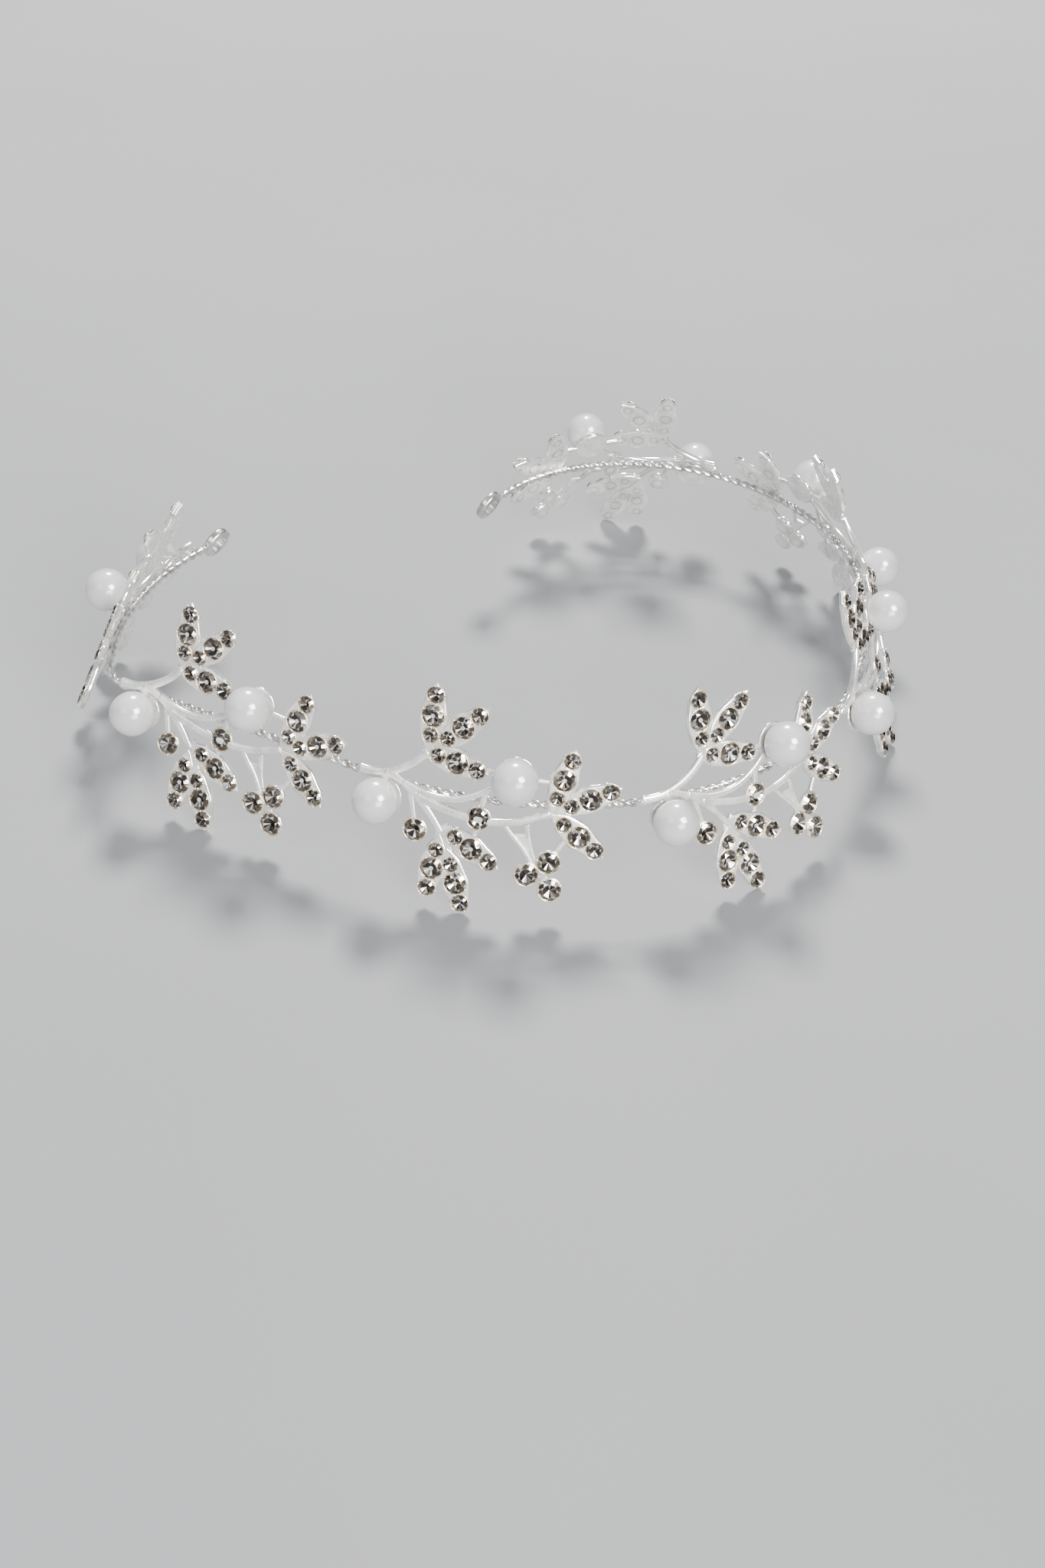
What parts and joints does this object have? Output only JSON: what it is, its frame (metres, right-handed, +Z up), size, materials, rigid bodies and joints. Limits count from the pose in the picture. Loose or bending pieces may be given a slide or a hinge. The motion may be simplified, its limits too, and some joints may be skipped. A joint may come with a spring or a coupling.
{
  "type": "bridal tiara",
  "caption": "Horseshoe bridal tiara of silver-plated leaf sprigs soldered to one bent wire, set with round crystals and pearls, with an eye at each end.",
  "frame": {"origin": "centre of the box at the level the tiara stands on", "axes": "+Z up, -Y towards the front of the head (the middle casting faces -Y), +X to the wearer's left"},
  "size_m": [0.161, 0.1282, 0.0377],
  "materials": {
    "silver_plating": "bright silver plating with satin tops",
    "wire_plating": "bright silver plating on rope-textured wire",
    "crystal": "clear foil-backed cut crystal",
    "pearl": "white pearl lacquer"
  },
  "bodies": {
    "root": {"backbone_wire": "wire_plating", "end_eye_left": "wire_plating", "end_eye_right": "wire_plating", "sprig_casting_1": "silver_plating", "crystals_large_1": "crystal", "crystals_medium_1": "crystal", "crystals_small_1": "crystal", "sprig_casting_2": "silver_plating", "crystals_large_2": "crystal", "crystals_medium_2": "crystal", "crystals_small_2": "crystal", "sprig_casting_3": "silver_plating", "crystals_large_3": "crystal", "crystals_medium_3": "crystal", "crystals_small_3": "crystal", "sprig_casting_4": "silver_plating", "crystals_large_4": "crystal", "crystals_medium_4": "crystal", "crystals_small_4": "crystal", "sprig_casting_5": "silver_plating", "crystals_large_5": "crystal", "crystals_medium_5": "crystal", "crystals_small_5": "crystal", "sprig_casting_6": "silver_plating", "crystals_large_6": "crystal", "crystals_medium_6": "crystal", "crystals_small_6": "crystal", "sprig_casting_7": "silver_plating", "crystals_large_7": "crystal", "crystals_medium_7": "crystal", "crystals_small_7": "crystal", "pearl_01": "pearl", "pearl_02": "pearl", "pearl_03": "pearl", "pearl_04": "pearl", "pearl_05": "pearl", "pearl_06": "pearl", "pearl_07": "pearl", "pearl_08": "pearl", "pearl_09": "pearl", "pearl_10": "pearl", "pearl_11": "pearl", "pearl_12": "pearl", "pearl_13": "pearl", "pearl_14": "pearl"}
  },
  "joints": []
}
